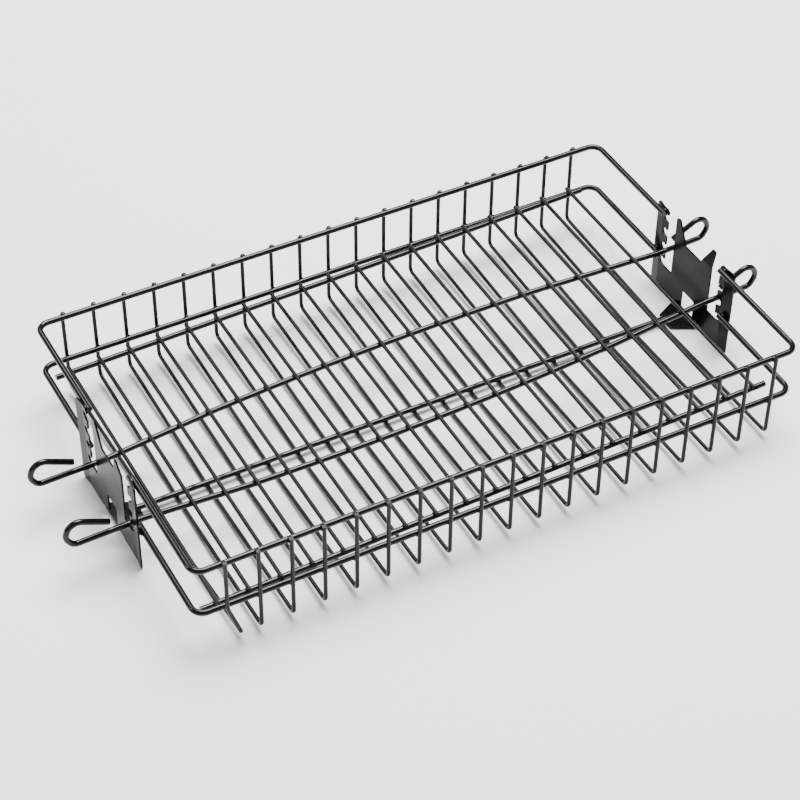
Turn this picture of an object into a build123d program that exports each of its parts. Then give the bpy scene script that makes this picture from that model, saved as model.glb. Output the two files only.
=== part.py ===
"""Flat spit-rotisserie grill basket: a welded wire tray with a drop-in wire lid.

Frame: X along the basket, Y across it, Z up, in millimetres.  The origin is on the
ground under the middle of the basket.  The lid rests one notch lower at its left end.
"""

import math
import os

from build123d import *

os.makedirs("parts", exist_ok=True)

# ---------------------------------------------------------------- driving dimensions
ROD = 4.8  # thick rods: rims, bottom rod, lid bars and handle rods
WIRE = 3.2  # thin cross wires
WIRE_COUNT = 19

WIRE_PITCH = 25.4  # spacing of the basket's cross wires
LEG_Y = 149.4  # centre line of the upright legs
REAR_LEG_TOP = 79.6  # the legs are cut off beside the upper rim
FRONT_LEG_TOP = 83.4  # and stand a little higher at the front
CORNER_Z = 6.3  # centre line of a cross wire where a leg meets the bottom
CORNER_RADIUS = 4.5
BOTTOM_Z = WIRE / 2  # centre line of a cross wire in the middle, its lowest point
BOTTOM_RADIUS = 150.0  # soft bend where the two halves of the bottom meet
STRAY = 10.0  # the first wire's front corner is knocked sideways by this much
STRAY_BEND_RADIUS = 20.0

RIM_X = 250.8  # centre line of the rims' short sides
RIM_Y = LEG_Y - (ROD + WIRE) / 2
RIM_CORNER = 9.0
UPPER_RIM_Z = 79.5
LOWER_RIM_Z = 36.9
UPPER_RIM_GAP = 40.0  # each rim is two U-shaped rods whose ends stop here
LOWER_RIM_GAP = 46.0
BOTTOM_ROD_LENGTH = 482.0

SHEET = 1.5  # end plates
PLATE_X = RIM_X + ROD / 2  # inner face of each end plate
PLATE_TOP = 82.8
PLATE_CORNER = 2.0  # corners cut off the columns' tops and the ends of the bottom edge
FOLD_Y = 45.0  # the outer strips are bent along these lines
STRIP_WIDTH = 10.0
STRIP_ANGLE = 8.0
STRIP_CORNER = 2.5
FOLD_OVERLAP = 0.1  # bent parts start this far inside the flat sheet

SLOT_INNER_Y = 26.0  # tongue side of the slots that the handle rods run in
TOOTH_Y = 37.5  # tips of the teeth
NOTCH_Y = 43.4  # bottoms of the notches
SLOT_FLOOR = 26.0
TOOTH_PITCH = 15.0
TOOTH_COUNT = 4
NOTCH_HEIGHT = 7.5
NOTCH_FLOOR_RISE = 1.2  # the floor of a notch slopes up towards its bottom
NOTCH_CORNER_Y = 2.0  # its inner corner is cut off from here
NOTCH_CORNER_Z = 3.6  # up to this height
NOTCH_ROOF_RISE = 0.4
LIP_START = 2.2  # the tooth above a notch has a small lip hanging from its tip
LIP_TIP = 1.2
LIP_DROP = 0.6

CRADLE_Z = 65.6  # floor of the cradle between the two prongs
CRADLE_HALF = 10.8
PRONG_TOP = 85.0
PRONG_TIP_INNER = 21.3
PRONG_CORNER = 1.5
PRONG_CREASE_Z = 70.0  # the front prong is bent outward above this height
PRONG_ANGLE = 10.0
SPIT_HOLE = 17.4
SPIT_HOLE_CORNER = 1.0
SPIT_HOLE_TOP = 21.4
TAB_ROOT_HALF = 18.5
TAB_TIP_HALF = 8.5
TAB_DEPTH = 20.0

LID_WIRE_PITCH = 25.1
LID_HALF_WIDTH = 136.0  # centre line of the lid's edge bars
LID_WIRE_OVERHANG = 1.0  # the cross wires end this far outside those bars
LID_BAR_LENGTH = 476.0
LID_SHIFT_X = -6.0  # the loose lid sits a little to the left
SEAT_Z = 30.2  # handle rod's centre line in the lowest notch
LID_SLOPE = TOOTH_PITCH / (2 * PLATE_X)  # one end rests one notch higher

HINGE_X = 6 * LID_WIRE_PITCH  # the handle rods are free to spring beyond this wire
ROD_MIDDLE_Y = 46.8  # the handle rods bow apart in the middle
ROD_PLATE_Y = 34.7  # and pass the end plates closer together
SPRING_GAP = 0.3  # clearance that lets the springing ends slide under the wires
LOOP_END_X = 296.6  # half the distance between the far ends of the handle loops
LOOP_SHIFT_X = -6.0  # the loops reach out further at the left
LOOP_SHOULDER = 4.0  # distance from a loop's tip to where its rod turns up
LOOP_BULGE = 1.5  # the corner that the loop's outer bends are laid around
LOOP_BULGE_Z = 9.2
LOOP_CROWN_Z = 24.0
LOOP_GAP = 9.5  # height of the loop's cut end above its rod
LOOP_TAIL = 33.0  # length of the loop's returning arm
LOOP_LOWER_RADIUS = 7.0
LOOP_UPPER_RADIUS = 9.0
ROD_STRAIGHT = 8.0  # the rod straightens out this far inside the plate
ROD_BEND_RADIUS = 60.0


def swept_wire(path, diameter):
    """A round wire of the given diameter along a path."""
    with BuildPart() as wire:
        with BuildSketch(Plane(origin=path @ 0, z_dir=path % 0)):
            Circle(diameter / 2)
        sweep(path=path)
    return wire.part


def save(shape, name):
    """Labels a finished piece and writes its file."""
    shape.label = name
    export_step(shape, f"parts/{name}.step")


# ---------------------------------------------------------------- rims
def rim_half(height, gap, side):
    """One U-shaped rod: along one long side and round both corners."""
    with BuildLine() as path:
        FilletPolyline(
            (-RIM_X, side * gap, height),
            (-RIM_X, side * RIM_Y, height),
            (RIM_X, side * RIM_Y, height),
            (RIM_X, side * gap, height),
            radius=RIM_CORNER,
        )
    return swept_wire(path.line, ROD)


for side_name, side in (("rear", 1), ("front", -1)):
    save(rim_half(UPPER_RIM_Z, UPPER_RIM_GAP, side), f"upper_rim_{side_name}")
    save(rim_half(LOWER_RIM_Z, LOWER_RIM_GAP, side), f"lower_rim_{side_name}")

# ---------------------------------------------------------------- basket cross wires
fall = math.atan((CORNER_Z - BOTTOM_Z) / LEG_Y)
bend_lift = BOTTOM_RADIUS * (1 / math.cos(fall) - 1)

for index in range(WIRE_COUNT):
    x = (index - (WIRE_COUNT - 1) / 2) * WIRE_PITCH
    stray = STRAY if index == 0 else 0
    points = [
        (x, LEG_Y, REAR_LEG_TOP),
        (x, LEG_Y, CORNER_Z),
        (x + stray / 2, 0, BOTTOM_Z - bend_lift),
        (x + stray, -LEG_Y, CORNER_Z),
    ]
    radii = [CORNER_RADIUS, BOTTOM_RADIUS, CORNER_RADIUS]
    if stray:
        points.append((x, -LEG_Y, LOWER_RIM_Z))
        radii.append(STRAY_BEND_RADIUS)
    points.append((x, -LEG_Y, FRONT_LEG_TOP))
    with BuildLine() as path:
        FilletPolyline(*points, radius=radii)
    save(swept_wire(path.line, WIRE), f"basket_wire_{index + 1:02d}")

# ---------------------------------------------------------------- bottom rod
with BuildPart() as bottom_rod:
    with BuildSketch(Plane.YZ.offset(-BOTTOM_ROD_LENGTH / 2)):
        with Locations((0, WIRE + ROD / 2)):
            Circle(ROD / 2)
    extrude(amount=BOTTOM_ROD_LENGTH)
save(bottom_rod.part, "bottom_rod")


# ---------------------------------------------------------------- end plates
def notched_column(side):
    """Outline points of one column's toothed edge, from the slot's floor to the top."""
    points = [(side * SLOT_INNER_Y, SLOT_FLOOR)]
    for tooth in range(TOOTH_COUNT):
        floor = SLOT_FLOOR + tooth * TOOTH_PITCH
        roof = floor + NOTCH_HEIGHT
        points += [
            (side * TOOTH_Y, floor),
            (side * (NOTCH_Y - NOTCH_CORNER_Y), floor + NOTCH_FLOOR_RISE),
            (side * NOTCH_Y, floor + NOTCH_CORNER_Z),
            (side * NOTCH_Y, roof),
            (side * (TOOTH_Y + LIP_START), roof + NOTCH_ROOF_RISE),
            (side * (TOOTH_Y + LIP_TIP), roof - LIP_DROP),
            (side * TOOTH_Y, roof),
        ]
    points += [
        (side * TOOTH_Y, PLATE_TOP - PLATE_CORNER),
        (side * (TOOTH_Y + PLATE_CORNER), PLATE_TOP),
    ]
    return points


def prong_inner_edge(height):
    """Distance of a prong's sloping inner edge from the middle, at a height."""
    share = (height - CRADLE_Z) / (PRONG_TOP - CRADLE_Z)
    return CRADLE_HALF + share * (PRONG_TIP_INNER - CRADLE_HALF)


def end_plate(end):
    """One bent sheet plate: two toothed columns, a forked tongue, a hole and a tab."""
    tab_side = TAB_ROOT_HALF + PLATE_CORNER
    crease_half = prong_inner_edge(PRONG_CREASE_Z)
    bent_height = PRONG_TOP - PRONG_CREASE_Z
    outline = [
        (-tab_side, 0),
        (-TAB_ROOT_HALF, WIRE),
        (TAB_ROOT_HALF, WIRE),
        (tab_side, 0),
        (FOLD_Y, 0),
        (FOLD_Y, PLATE_TOP),
        *reversed(notched_column(1)),
        (SLOT_INNER_Y, PRONG_TOP - PRONG_CORNER),
        (SLOT_INNER_Y - PRONG_CORNER, PRONG_TOP),
        (PRONG_TIP_INNER, PRONG_TOP),
        (CRADLE_HALF, CRADLE_Z),
        (-CRADLE_HALF, CRADLE_Z),
        (-crease_half, PRONG_CREASE_Z),
        (-SLOT_INNER_Y, PRONG_CREASE_Z),
        *notched_column(-1),
        (-FOLD_Y, PLATE_TOP),
        (-FOLD_Y, 0),
    ]
    bent_prong = [
        (-SLOT_INNER_Y, -FOLD_OVERLAP),
        (-crease_half, -FOLD_OVERLAP),
        (-PRONG_TIP_INNER, bent_height),
        (PRONG_CORNER - SLOT_INNER_Y, bent_height),
        (-SLOT_INNER_Y, bent_height - PRONG_CORNER),
    ]
    lean = math.radians(PRONG_ANGLE)
    strip_out = end * STRIP_WIDTH * math.sin(math.radians(STRIP_ANGLE))
    strip_y = FOLD_Y + STRIP_WIDTH * math.cos(math.radians(STRIP_ANGLE))
    middle = end * (PLATE_X + SHEET / 2)
    inner = middle - SHEET / 2
    outer = middle + SHEET / 2
    face = Plane(origin=(middle, 0, 0), x_dir=(0, 1, 0), z_dir=(1, 0, 0))
    crease = Plane(
        origin=(middle, 0, PRONG_CREASE_Z),
        x_dir=(0, 1, 0),
        z_dir=(math.cos(lean), 0, -end * math.sin(lean)),
    )
    with BuildPart() as plate:
        with BuildSketch(face):
            with BuildLine():
                Polyline(*outline, close=True)
            make_face()
            with Locations((0, SPIT_HOLE_TOP - SPIT_HOLE / 2)):
                RectangleRounded(SPIT_HOLE, SPIT_HOLE, SPIT_HOLE_CORNER, mode=Mode.SUBTRACT)
        extrude(amount=SHEET / 2, both=True)

        with BuildSketch(crease):
            with BuildLine():
                Polyline(*bent_prong, close=True)
            make_face()
        extrude(amount=SHEET / 2, both=True)

        with BuildSketch(Plane.XY):
            for side in (1, -1):
                with BuildLine():
                    Polyline(
                        (inner, side * (FOLD_Y - FOLD_OVERLAP)),
                        (inner + strip_out, side * strip_y),
                        (outer + strip_out, side * strip_y),
                        (outer, side * (FOLD_Y - FOLD_OVERLAP)),
                        close=True,
                    )
                make_face()
        extrude(amount=PLATE_TOP)

        with BuildSketch(Plane.XY.offset(WIRE - SHEET)):
            with BuildLine():
                Polyline(
                    (end * (PLATE_X + SHEET), TAB_ROOT_HALF),
                    (end * PLATE_X, TAB_ROOT_HALF),
                    (end * (PLATE_X - TAB_DEPTH), TAB_TIP_HALF),
                    (end * (PLATE_X - TAB_DEPTH), -TAB_TIP_HALF),
                    (end * PLATE_X, -TAB_ROOT_HALF),
                    (end * (PLATE_X + SHEET), -TAB_ROOT_HALF),
                    close=True,
                )
            make_face()
        extrude(amount=SHEET)

        short_edges = plate.edges().filter_by(lambda edge: edge.length < 2 * SHEET)
        strip_ends = short_edges.filter_by(
            lambda edge: abs(edge.center().Y) > (FOLD_Y + strip_y) / 2
        )
        fillet(strip_ends, STRIP_CORNER)
    return plate.part


save(end_plate(-1), "end_plate_left")
save(end_plate(1), "end_plate_right")

# ---------------------------------------------------------------- lid
# The lid is laid out flat about its own middle and then set down tilted, with its
# left ends beside the lowest notches and its right ends one notch higher.
LID_MIDDLE_Z = SEAT_Z + (PLATE_X + LID_SHIFT_X) * LID_SLOPE
LID_TILT = math.degrees(math.atan(LID_SLOPE))
LID_LOCATION = Location((LID_SHIFT_X, 0, LID_MIDDLE_Z), (0, -LID_TILT, 0))


def bow(x):
    """Distance of a handle rod from the lid's middle line: a shallow parabola."""
    return ROD_MIDDLE_Y - (ROD_MIDDLE_Y - ROD_PLATE_Y) * (x / PLATE_X) ** 2


for side_name, side in (("rear", 1), ("front", -1)):
    with BuildPart() as bar:
        with BuildSketch(Plane.YZ.offset(-LID_BAR_LENGTH / 2)):
            with Locations((side * LID_HALF_WIDTH, 0)):
                Circle(ROD / 2)
        extrude(amount=LID_BAR_LENGTH)
    save(LID_LOCATION * bar.part, f"lid_bar_{side_name}")

    with BuildLine() as path:
        ThreePointArc(
            (SPRING_GAP - HINGE_X, side * bow(HINGE_X), 0),
            (0, side * ROD_MIDDLE_Y, 0),
            (HINGE_X - SPRING_GAP, side * bow(HINGE_X), 0),
        )
    save(LID_LOCATION * swept_wire(path.line, ROD), f"handle_rod_{side_name}")

    for end_name, end in (("left", -1), ("right", 1)):
        height = -SPRING_GAP
        plate_x = end * PLATE_X - LID_SHIFT_X
        tip_x = end * LOOP_END_X + LOOP_SHIFT_X - LID_SHIFT_X
        rod_y = side * ROD_PLATE_Y
        with BuildLine() as path:
            FilletPolyline(
                (end * (HINGE_X + SPRING_GAP), side * bow(HINGE_X), height),
                (plate_x - end * ROD_STRAIGHT, rod_y, height),
                (tip_x - end * LOOP_SHOULDER, rod_y, height),
                (tip_x + end * LOOP_BULGE, rod_y, height + LOOP_BULGE_Z),
                (tip_x - end * LOOP_SHOULDER, rod_y, height + LOOP_CROWN_Z),
                (tip_x - end * LOOP_TAIL, rod_y, height + LOOP_GAP),
                radius=(ROD_BEND_RADIUS, LOOP_LOWER_RADIUS, LOOP_UPPER_RADIUS, LOOP_UPPER_RADIUS),
            )
        save(LID_LOCATION * swept_wire(path.line, ROD), f"grip_{end_name}_{side_name}")

for index in range(WIRE_COUNT):
    x = (index - (WIRE_COUNT - 1) / 2) * LID_WIRE_PITCH
    length = 2 * (LID_HALF_WIDTH + ROD / 2 + LID_WIRE_OVERHANG)
    with BuildPart() as lid_wire:
        with BuildSketch(Plane.XZ.offset(-length / 2)):
            with Locations((x, (ROD + WIRE) / 2)):
                Circle(WIRE / 2)
        extrude(amount=length)
    save(LID_LOCATION * lid_wire.part, f"lid_wire_{index + 1:02d}")
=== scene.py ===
"""Looks of the flat grill basket: glossy black coated wire, bent sheet plates, weld nuggets."""

import math

import bmesh
import bpy
from mathutils import Matrix, Vector


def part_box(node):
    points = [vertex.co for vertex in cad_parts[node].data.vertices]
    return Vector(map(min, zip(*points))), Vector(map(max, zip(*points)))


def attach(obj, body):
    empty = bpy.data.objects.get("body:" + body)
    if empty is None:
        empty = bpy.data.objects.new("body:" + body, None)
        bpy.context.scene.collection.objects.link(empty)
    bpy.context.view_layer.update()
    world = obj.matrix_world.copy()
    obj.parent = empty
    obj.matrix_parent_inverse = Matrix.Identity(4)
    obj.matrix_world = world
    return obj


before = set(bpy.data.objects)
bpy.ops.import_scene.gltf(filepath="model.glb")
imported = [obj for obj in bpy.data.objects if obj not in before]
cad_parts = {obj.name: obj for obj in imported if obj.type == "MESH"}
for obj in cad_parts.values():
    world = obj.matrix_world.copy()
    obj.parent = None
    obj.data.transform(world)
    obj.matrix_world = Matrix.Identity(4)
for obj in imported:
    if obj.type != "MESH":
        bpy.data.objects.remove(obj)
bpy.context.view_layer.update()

MM = 0.001

# ---------------------------------------------------------------- sizes read from the frame


def middle(node, axis):
    """Middle of a node's box along an axis."""
    low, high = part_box(node)
    return (low[axis] + high[axis]) / 2


BASKET_WIRES = sorted(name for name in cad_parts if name.startswith("basket_wire"))
LID_WIRES = sorted(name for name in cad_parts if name.startswith("lid_wire"))
END_PLATES = ["end_plate_left", "end_plate_right"]
THICK_RODS = sorted(
    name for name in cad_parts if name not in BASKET_WIRES + LID_WIRES + END_PLATES
)
SIDES = (("rear", 1), ("front", -1))

ROD = 2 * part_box("bottom_rod")[1][1]
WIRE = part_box("lid_wire_01")[1][0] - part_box("lid_wire_01")[0][0]

# ---------------------------------------------------------------- materials
# A black baked-on coating all over.  Its gloss and shade drift in soft patches.
PATCH_SCALE = 45.0
PATCH_DETAIL = 4.0
PATCH_LOW = 0.3
SHADE_HIGH = 0.75
SHADE_RANGE = (0.7, 1.35)
GLOSS_HIGH = 0.7
GLOSS_RANGE = (0.8, 1.25)
PEEL_STRENGTH = 0.2
WAVE_SCALE = 22.0
WAVE_STRENGTH = 0.6


def noise(material, scale, detail):
    """A noise texture that sticks to the object."""
    nodes = material.node_tree.nodes
    place = nodes.new("ShaderNodeTexCoord")
    texture = nodes.new("ShaderNodeTexNoise")
    texture.inputs["Scale"].default_value = scale
    texture.inputs["Detail"].default_value = detail
    material.node_tree.links.new(place.outputs["Object"], texture.inputs["Vector"])
    return texture


def relief(material, texture, strength, depth):
    """A bump node that takes its height, in millimetres, from a texture."""
    bump = material.node_tree.nodes.new("ShaderNodeBump")
    bump.inputs["Strength"].default_value = strength
    bump.inputs["Distance"].default_value = depth * MM
    material.node_tree.links.new(texture.outputs["Fac"], bump.inputs["Height"])
    return bump


def coating(name, colour, roughness, ior, specular, peel_size, peel_depth, wave_depth=0.0):
    """A black coating with a fine orange peel, and on sheet a slow wave, in millimetres."""
    material = bpy.data.materials.new(name)
    material.use_nodes = True
    nodes = material.node_tree.nodes
    links = material.node_tree.links
    shader = nodes["Principled BSDF"]
    shader.inputs["Metallic"].default_value = 0.0
    shader.inputs["IOR"].default_value = ior
    shader.inputs["Specular IOR Level"].default_value = specular

    patches = noise(material, PATCH_SCALE, PATCH_DETAIL)
    shade = nodes.new("ShaderNodeValToRGB")
    ends = zip(shade.color_ramp.elements, (PATCH_LOW, SHADE_HIGH), SHADE_RANGE)
    for element, position, factor in ends:
        element.position = position
        element.color = (*[channel * factor for channel in colour], 1)
    links.new(patches.outputs["Fac"], shade.inputs["Fac"])
    links.new(shade.outputs["Color"], shader.inputs["Base Color"])

    gloss = nodes.new("ShaderNodeMapRange")
    gloss.inputs["From Min"].default_value = PATCH_LOW
    gloss.inputs["From Max"].default_value = GLOSS_HIGH
    gloss.inputs["To Min"].default_value = roughness * GLOSS_RANGE[0]
    gloss.inputs["To Max"].default_value = roughness * GLOSS_RANGE[1]
    links.new(patches.outputs["Fac"], gloss.inputs["Value"])
    links.new(gloss.outputs["Result"], shader.inputs["Roughness"])

    peel = relief(material, noise(material, 1 / (peel_size * MM), 1.0), PEEL_STRENGTH, peel_depth)
    links.new(peel.outputs["Normal"], shader.inputs["Normal"])
    if wave_depth:
        wave = relief(material, noise(material, WAVE_SCALE, 0.0), WAVE_STRENGTH, wave_depth)
        links.new(wave.outputs["Normal"], peel.inputs["Normal"])
    return material


ROD_COATING = coating(
    "rod_coating",
    colour=(0.004, 0.004, 0.0034),
    roughness=0.15,
    ior=1.5,
    specular=0.27,
    peel_size=3.0,
    peel_depth=0.01,
)
WIRE_COATING = coating(
    "wire_coating",
    colour=(0.005, 0.005, 0.0039),
    roughness=0.22,
    ior=1.5,
    specular=0.18,
    peel_size=3.0,
    peel_depth=0.01,
)
SHEET_COATING = coating(
    "sheet_coating",
    colour=(0.004, 0.004, 0.0037),
    roughness=0.22,
    ior=1.18,
    specular=0.45,
    peel_size=3.0,
    peel_depth=0.03,
    wave_depth=1.2,
)
WELD_COATING = coating(
    "weld_coating",
    colour=(0.006, 0.006, 0.0048),
    roughness=0.22,
    ior=1.5,
    specular=0.27,
    peel_size=1.5,
    peel_depth=0.05,
)


def soften_edges(piece, width):
    """Rounds a piece's sharp edges over, as a coating does."""
    bevel = piece.modifiers.new("coated_edges", "BEVEL")
    bevel.width = width
    bevel.segments = 3
    bevel.limit_method = "ANGLE"
    bevel.angle_limit = math.radians(50)


def finish_nodes(names, material, edge):
    """Gives CAD nodes their material and softly rounded edges."""
    for name in names:
        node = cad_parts[name]
        node.data.materials.clear()
        node.data.materials.append(material)
        soften_edges(node, edge)


finish_nodes(BASKET_WIRES + LID_WIRES, WIRE_COATING, 0.5 * MM)
finish_nodes(THICK_RODS, ROD_COATING, 0.7 * MM)
finish_nodes(END_PLATES, SHEET_COATING, 0.3 * MM)


def new_piece(name, mesh, material, body):
    """Turns a bmesh into a smooth piece that rides on a body."""
    data = bpy.data.meshes.new(name)
    mesh.to_mesh(data)
    mesh.free()
    for face in data.polygons:
        face.use_smooth = True
    data.materials.append(material)
    piece = bpy.data.objects.new(name, data)
    bpy.context.scene.collection.objects.link(piece)
    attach(piece, body)
    return piece


# ---------------------------------------------------------------- weld nuggets
# Each crossing is resistance welded: a little coated swelling fills the corner between
# the two wires.  The rims' ends and the bottom rod's ends have longer beads.
LUMP = 0.08  # how far a nugget's surface leaves its ellipsoid, as a share of its size
RIPPLE = 0.05
SEED_STEP = 1.3

LEG_NUGGET = (2.3, 1.0, 2.1)  # half sizes of a nugget along X, Y and Z, in millimetres
CROWN_NUGGET = (1.9, 1.9, 1.0)
BOTTOM_NUGGET = (2.1, 2.3, 0.9)
LID_NUGGET = (2.2, 2.3, 0.9)
RIM_BEAD = (1.3, 2.4, 1.2)
ROD_BEAD = (2.2, 1.3, 0.9)


def add_nugget(mesh, centre, half_sizes, seed):
    """Adds one lumpy ellipsoid to a bmesh."""
    made = bmesh.ops.create_icosphere(mesh, subdivisions=3, radius=1.0)
    for vertex in made["verts"]:
        direction = vertex.co.normalized()
        lump = math.sin(4.1 * direction.x + seed) * math.sin(3.7 * direction.y + 2.3 * seed)
        ripple = math.sin(5.3 * direction.z + 1.7 * seed)
        reach = 1.0 + LUMP * lump + RIPPLE * ripple
        vertex.co = Vector(
            [centre[i] + direction[i] * half_sizes[i] * MM * reach for i in range(3)]
        )


def weld_piece(name, body, spots):
    """One piece with a nugget at every spot: a centre in metres and half sizes."""
    mesh = bmesh.new()
    for number, (centre, half_sizes) in enumerate(spots):
        add_nugget(mesh, centre, half_sizes, SEED_STEP * number)
    new_piece(name, mesh, WELD_COATING, body)


# Upright legs against the rims, with a crown over each leg's top
CROWN_INSET = 0.6 * MM
CROWN_RISE = 2.4 * MM

leg_spots = []
for wire in BASKET_WIRES:
    leg_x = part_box(wire)[0][0] + WIRE / 2
    for side_name, side in SIDES:
        upper_rim = f"upper_rim_{side_name}"
        edge = 1 if side > 0 else 0
        for rim in (upper_rim, f"lower_rim_{side_name}"):
            leg_spots.append(((leg_x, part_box(rim)[edge][1], middle(rim, 2)), LEG_NUGGET))
        crown_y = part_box(upper_rim)[edge][1] - side * CROWN_INSET
        crown_z = middle(upper_rim, 2) + CROWN_RISE
        leg_spots.append(((leg_x, crown_y, crown_z), CROWN_NUGGET))
weld_piece("leg_welds", "basket", leg_spots)

# Bottom rod on the cross wires
rod_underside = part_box("bottom_rod")[0][2]
bottom_spots = [((middle(wire, 0), 0, rod_underside), BOTTOM_NUGGET) for wire in BASKET_WIRES]
weld_piece("bottom_welds", "basket", bottom_spots)

# Rims' ends on the end plates, and the bottom rod's ends on the tabs.  A bead is placed
# by its distance from the end of its rod and its distance from the rod's middle line.
RIM_BEADS = ((3.0, 1.9), (6.5, -1.9), (2.0, -1.9))
ROD_BEADS = ((1.5, 1.9), (4.5, 2.1), (2.5, -2.0), (6.0, -1.8))
RIM_BEAD_INSET = 0.4 * MM
ROD_BEAD_RISE = 0.2 * MM

bead_spots = []
for end in (-1, 1):
    bead_x = end * (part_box("upper_rim_rear")[1][0] - RIM_BEAD_INSET)
    for side_name, side in SIDES:
        for rim in (f"upper_rim_{side_name}", f"lower_rim_{side_name}"):
            low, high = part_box(rim)
            tip_y = low[1] if side > 0 else high[1]
            for step, rise in RIM_BEADS:
                spot = (bead_x, tip_y + side * step * MM, middle(rim, 2) + rise * MM)
                bead_spots.append((spot, RIM_BEAD))
    rod_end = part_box("bottom_rod")[0 if end < 0 else 1][0]
    for step, across in ROD_BEADS:
        spot = (rod_end - end * step * MM, across * MM, rod_underside + ROD_BEAD_RISE)
        bead_spots.append((spot, ROD_BEAD))
weld_piece("end_welds", "basket", bead_spots)

# Lid wires on the lid's bars and on the middles of its bowed handle rods
HANDLE_REACH = 1.02  # the wires over the ends of the rods' middles are welded too

lid_middle_x = middle("lid_bar_rear", 0)
bar_y = abs(middle("lid_bar_rear", 1))
rod_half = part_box("handle_rod_rear")[1][0] - lid_middle_x
bow_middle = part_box("handle_rod_rear")[1][1] - ROD / 2
bow_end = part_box("handle_rod_rear")[0][1] + ROD / 2

lid_spots = []
for wire in LID_WIRES:
    wire_x = middle(wire, 0)
    contact_z = middle(wire, 2) - WIRE / 2
    rows = [bar_y]
    share = (wire_x - lid_middle_x) / rod_half
    if abs(share) < HANDLE_REACH:
        rows.append(bow_middle - (bow_middle - bow_end) * share**2)
    for row in rows:
        for side in (1, -1):
            lid_spots.append(((wire_x, side * row, contact_z), LID_NUGGET))
weld_piece("lid_welds", "lid", lid_spots)

# ---------------------------------------------------------------- rod joints
# The springing rod ends are separate solids.  A snug skin round each joint, under a lid
# wire, keeps every handle rod looking like one piece of wire.
SKIN_RADIUS = 2.58 * MM
SKIN_LENGTH = 5.0 * MM
SKIN_EDGE = 0.3 * MM
JOINT_DROP = 0.15 * MM

skins = bmesh.new()
bow_turn = math.atan(2 * (bow_middle - bow_end) / rod_half)
for side_name, side in SIDES:
    low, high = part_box(f"handle_rod_{side_name}")
    tilt = math.atan2(high[2] - low[2] - ROD, high[0] - low[0])
    for corner, end in ((low, -1), (high, 1)):
        spot = Vector((corner[0], side * bow_end, corner[2] - end * ROD / 2 - JOINT_DROP))
        pose = (
            Matrix.Translation(spot)
            @ Matrix.Rotation(-tilt, 4, "Y")
            @ Matrix.Rotation(-end * side * bow_turn, 4, "Z")
            @ Matrix.Rotation(math.radians(90), 4, "Y")
        )
        bmesh.ops.create_cone(
            skins,
            cap_ends=True,
            segments=40,
            radius1=SKIN_RADIUS,
            radius2=SKIN_RADIUS,
            depth=SKIN_LENGTH,
            matrix=pose,
        )
soften_edges(new_piece("rod_joint_skins", skins, ROD_COATING, "lid"), SKIN_EDGE)

# ---------------------------------------------------------------- floor and light
FLOOR_HALF = 30.0
FLOOR_DROP = 0.5 * MM
FLOOR_SHADE = 0.74
WORLD_STRENGTH = 0.2

floor_mesh = bpy.data.meshes.new("floor")
floor_corners = [(x * FLOOR_HALF, y * FLOOR_HALF, 0) for x, y in ((-1, -1), (1, -1), (1, 1), (-1, 1))]
floor_mesh.from_pydata(floor_corners, [], [(0, 1, 2, 3)])
floor = bpy.data.objects.new("floor", floor_mesh)
bpy.context.scene.collection.objects.link(floor)
floor.location.z = -FLOOR_DROP
paper = bpy.data.materials.new("paper")
paper.use_nodes = True
paper_shader = paper.node_tree.nodes["Principled BSDF"]
paper_shader.inputs["Base Color"].default_value = (FLOOR_SHADE, FLOOR_SHADE, FLOOR_SHADE, 1)
paper_shader.inputs["Roughness"].default_value = 0.9
floor_mesh.materials.append(paper)

world = bpy.data.worlds.new("studio")
bpy.context.scene.world = world
world.use_nodes = True
world.node_tree.nodes["Background"].inputs["Color"].default_value = (1, 1, 1, 1)
world.node_tree.nodes["Background"].inputs["Strength"].default_value = WORLD_STRENGTH


def soft_box(name, location, width, height, power):
    """A rectangular soft light aimed at the basket."""
    data = bpy.data.lights.new(name, "AREA")
    data.shape = "RECTANGLE"
    data.size = width
    data.size_y = height
    data.energy = power
    light = bpy.data.objects.new(name, data)
    light.location = location
    light.rotation_euler = (-Vector(location)).to_track_quat("-Z", "Y").to_euler()
    bpy.context.scene.collection.objects.link(light)


soft_box("overhead", (0.6, 0.5, 2.4), width=1.9, height=1.7, power=270)
soft_box("rear", (-0.4, 1.8, 2.0), width=1.2, height=0.8, power=22)
soft_box("left_strip", (-2.0, 0.9, 1.3), width=0.25, height=1.4, power=20)

# ---------------------------------------------------------------- camera
CAMERA_LENS = 103.174
CAMERA_AZIMUTH = math.radians(-28.3737)
CAMERA_ELEVATION = math.radians(43.0183)
CAMERA_ROLL = math.radians(0.599)
CAMERA_DISTANCE = 1.7536
CAMERA_TARGET = Vector((-0.02317, -0.01896, 0.040))

backward = Vector(
    (
        math.sin(CAMERA_AZIMUTH) * math.cos(CAMERA_ELEVATION),
        -math.cos(CAMERA_AZIMUTH) * math.cos(CAMERA_ELEVATION),
        math.sin(CAMERA_ELEVATION),
    )
)
level_right = Vector((math.cos(CAMERA_AZIMUTH), math.sin(CAMERA_AZIMUTH), 0))
level_up = backward.cross(level_right)
right = level_right * math.cos(CAMERA_ROLL) + level_up * math.sin(CAMERA_ROLL)
up = backward.cross(right)

camera_data = bpy.data.cameras.new("camera")
camera_data.lens = CAMERA_LENS
camera_data.sensor_width = 36
camera_data.clip_end = 100
camera = bpy.data.objects.new("camera", camera_data)
axes = Matrix((right, up, backward)).transposed().to_4x4()
camera.matrix_world = Matrix.Translation(CAMERA_TARGET + backward * CAMERA_DISTANCE) @ axes
bpy.context.scene.collection.objects.link(camera)
bpy.context.scene.camera = camera
